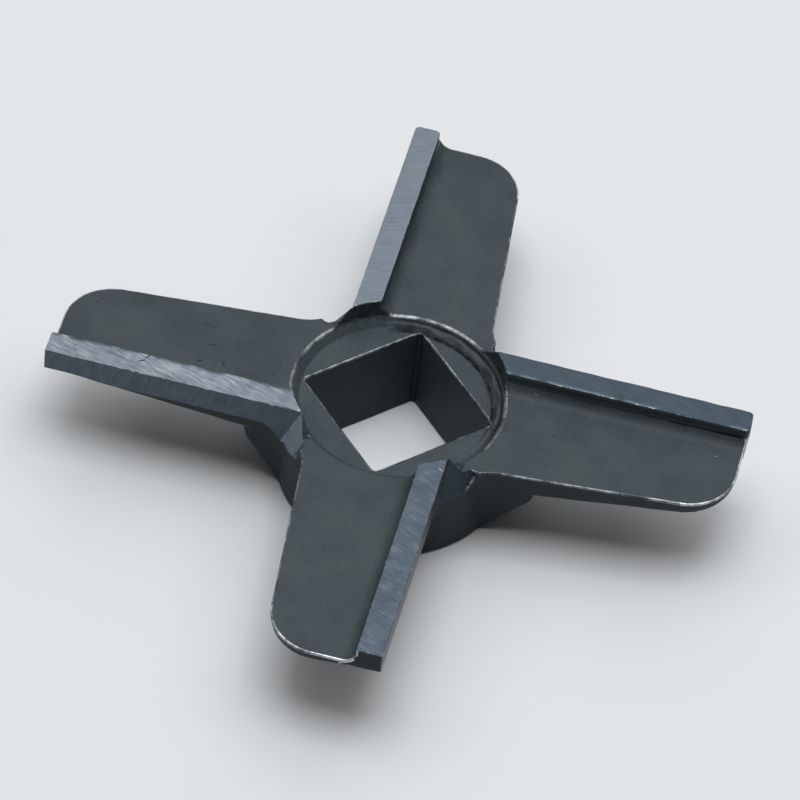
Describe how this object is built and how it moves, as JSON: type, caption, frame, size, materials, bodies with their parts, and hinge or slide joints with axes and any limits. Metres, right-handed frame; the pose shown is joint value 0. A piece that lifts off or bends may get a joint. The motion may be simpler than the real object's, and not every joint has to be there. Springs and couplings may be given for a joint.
{
  "type": "meat grinder knife",
  "caption": "Cross-shaped cast cutting knife for a household meat grinder, with raised ground cutting lands and a square drive hole in a round recessed hub.",
  "frame": {"origin": "centre of the hub's back face, on the axis of the square hole", "axes": "+Z along the axis of rotation, from the hub's back face towards the ground cutting lands. X and Y lie along the flats of the square hole, so the arms point along the diagonals. Seen from +Z the cutting edges lead when the knife turns counter-clockwise."},
  "size_m": [0.0396, 0.0396, 0.009],
  "materials": {
    "cast_steel": "fine matte casting skin, with bare ground steel on the lands and rake faces"
  },
  "bodies": {
    "root": {"grinder_knife": "cast_steel"}
  },
  "joints": []
}
